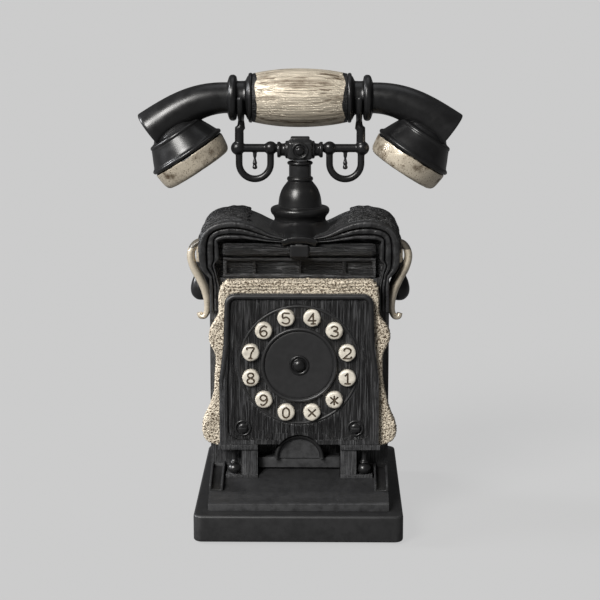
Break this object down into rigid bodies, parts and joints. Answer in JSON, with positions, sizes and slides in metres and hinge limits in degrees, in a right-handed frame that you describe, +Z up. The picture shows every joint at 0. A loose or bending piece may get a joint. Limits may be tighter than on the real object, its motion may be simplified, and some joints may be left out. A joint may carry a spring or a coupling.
{
  "type": "corded landline phone",
  "caption": "Antique-style corded desk phone: stepped base, panelled body, ring of push keys on the front, and a curved handset lying on a forked cradle.",
  "frame": {"origin": "centre of the underside, on the table", "axes": "+Z up, -Y towards the front with the keys, +X to the right seen from the front"},
  "size_m": [0.225, 0.18, 0.3119],
  "materials": {
    "black_lacquer": "satin black, dry-brushed grey along its edges",
    "black_metal": "satin black paint",
    "antique_silver": "champagne silver paint with brown antiquing",
    "foot_rubber": "matte",
    "ballast_iron": "rough cast",
    "circuit_board": "green solder mask",
    "plain_steel": "bare steel",
    "inner_plastic": "matte black"
  },
  "bodies": {
    "phone": {"base_slab": "black_lacquer", "base_platform": "black_lacquer", "side_rails": "black_lacquer", "bottom_plate": "inner_plastic", "rubber_feet": "foot_rubber", "ballast_weight": "ballast_iron", "body_shell": "black_lacquer", "hood_shell": "black_lacquer", "hood_caps": "black_lacquer", "hood_frame": "black_lacquer", "hood_roll": "black_lacquer", "hood_clasp": "black_lacquer", "slat_rail": "black_lacquer", "surround_trim": "antique_silver", "front_panel": "black_lacquer", "panel_screws": "black_metal", "ringer_arch": "black_lacquer", "legs": "black_lacquer", "leg_spindles": "black_lacquer", "side_straps": "antique_silver", "side_hooks": "black_lacquer", "back_cover": "black_lacquer", "case_screws": "plain_steel", "dial_ring": "black_lacquer", "dial_disc": "black_lacquer", "dial_hub": "black_lacquer", "key_guide": "inner_plastic", "keypad_board": "circuit_board", "main_board": "circuit_board", "ringer_speaker": "plain_steel", "hook_switch": "inner_plastic", "line_jack": "antique_silver", "cord_jack": "inner_plastic", "stem": "black_metal"},
    "cradle": {"cradle_post": "plain_steel", "cradle_hub": "black_metal", "cradle_arm_left": "black_metal", "cradle_arm_right": "black_metal"},
    "handset": {"handset_grip": "antique_silver", "handset_ferrules": "black_lacquer", "handset_arm_left": "black_lacquer", "handset_arm_right": "black_lacquer", "receiver_cup": "black_lacquer", "receiver_cap": "antique_silver", "transmitter_cup": "black_lacquer", "transmitter_cap": "antique_silver", "handset_capsules": "plain_steel"},
    "ringer_switch": {"ringer_switch": "antique_silver"},
    "key_1": {"key_1": "antique_silver"},
    "key_2": {"key_2": "antique_silver"},
    "key_3": {"key_3": "antique_silver"},
    "key_4": {"key_4": "antique_silver"},
    "key_5": {"key_5": "antique_silver"},
    "key_6": {"key_6": "antique_silver"},
    "key_7": {"key_7": "antique_silver"},
    "key_8": {"key_8": "antique_silver"},
    "key_9": {"key_9": "antique_silver"},
    "key_0": {"key_0": "antique_silver"},
    "key_hash": {"key_hash": "antique_silver"},
    "key_star": {"key_star": "antique_silver"}
  },
  "joints": [
    {"name": "cradle_hook", "type": "slide", "parent": "phone", "child": "cradle", "axis": [0, 0, 1], "range_m": [0, 0.004], "stiffness_N_per_m": 100, "springref_m": 0.013},
    {"name": "handset_lift", "type": "slide", "parent": "cradle", "child": "handset", "axis": [0, 0, 1], "range_m": [0, 0.08]},
    {"name": "ringer_slide", "type": "slide", "parent": "phone", "child": "ringer_switch", "axis": [1, 0, 0], "range_m": [0, 0.006]},
    {"name": "key_1_press", "type": "slide", "parent": "phone", "child": "key_1", "axis": [0, 1, 0], "range_m": [0, 0.0016], "stiffness_N_per_m": 300, "springref_m": -0.0008},
    {"name": "key_2_press", "type": "slide", "parent": "phone", "child": "key_2", "axis": [0, 1, 0], "range_m": [0, 0.0016], "stiffness_N_per_m": 300, "springref_m": -0.0008},
    {"name": "key_3_press", "type": "slide", "parent": "phone", "child": "key_3", "axis": [0, 1, 0], "range_m": [0, 0.0016], "stiffness_N_per_m": 300, "springref_m": -0.0008},
    {"name": "key_4_press", "type": "slide", "parent": "phone", "child": "key_4", "axis": [0, 1, 0], "range_m": [0, 0.0016], "stiffness_N_per_m": 300, "springref_m": -0.0008},
    {"name": "key_5_press", "type": "slide", "parent": "phone", "child": "key_5", "axis": [0, 1, 0], "range_m": [0, 0.0016], "stiffness_N_per_m": 300, "springref_m": -0.0008},
    {"name": "key_6_press", "type": "slide", "parent": "phone", "child": "key_6", "axis": [0, 1, 0], "range_m": [0, 0.0016], "stiffness_N_per_m": 300, "springref_m": -0.0008},
    {"name": "key_7_press", "type": "slide", "parent": "phone", "child": "key_7", "axis": [0, 1, 0], "range_m": [0, 0.0016], "stiffness_N_per_m": 300, "springref_m": -0.0008},
    {"name": "key_8_press", "type": "slide", "parent": "phone", "child": "key_8", "axis": [0, 1, 0], "range_m": [0, 0.0016], "stiffness_N_per_m": 300, "springref_m": -0.0008},
    {"name": "key_9_press", "type": "slide", "parent": "phone", "child": "key_9", "axis": [0, 1, 0], "range_m": [0, 0.0016], "stiffness_N_per_m": 300, "springref_m": -0.0008},
    {"name": "key_0_press", "type": "slide", "parent": "phone", "child": "key_0", "axis": [0, 1, 0], "range_m": [0, 0.0016], "stiffness_N_per_m": 300, "springref_m": -0.0008},
    {"name": "key_hash_press", "type": "slide", "parent": "phone", "child": "key_hash", "axis": [0, 1, 0], "range_m": [0, 0.0016], "stiffness_N_per_m": 300, "springref_m": -0.0008},
    {"name": "key_star_press", "type": "slide", "parent": "phone", "child": "key_star", "axis": [0, 1, 0], "range_m": [0, 0.0016], "stiffness_N_per_m": 300, "springref_m": -0.0008}
  ]
}
